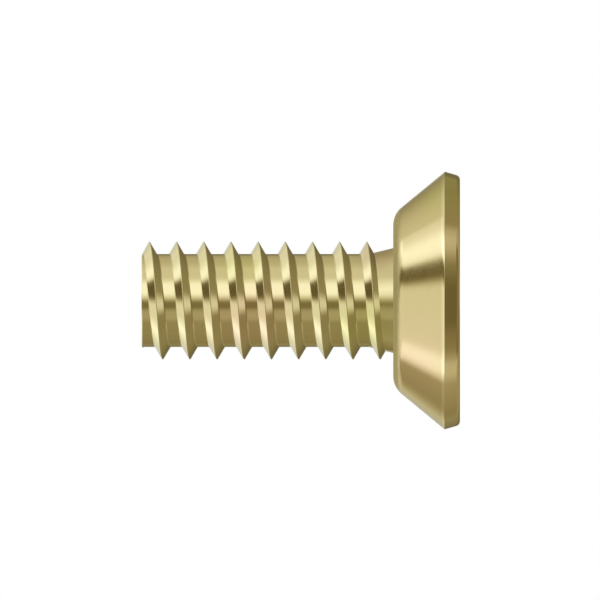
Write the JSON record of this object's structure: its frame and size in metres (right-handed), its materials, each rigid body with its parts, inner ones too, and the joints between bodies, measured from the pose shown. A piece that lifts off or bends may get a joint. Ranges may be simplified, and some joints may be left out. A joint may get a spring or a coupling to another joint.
{
  "type": "machine screw",
  "caption": "Countersunk brass machine screw with a conical seat, a short tapered neck, a right-hand thread to its cut-off end and a cross recess, for flush fixing into tapped metal.",
  "frame": {"origin": "centre of the head's flat face, which the screw stands on", "axes": "+Z along the screw's axis, from the flat face of the head up to the cut-off end of the thread; +X and +Y through two neighbouring wings of the cross recess"},
  "size_m": [0.01, 0.01, 0.0124],
  "materials": {
    "screw": "plain drawn brass with a soft sheen"
  },
  "bodies": {
    "root": {"screw": "screw"}
  },
  "joints": []
}
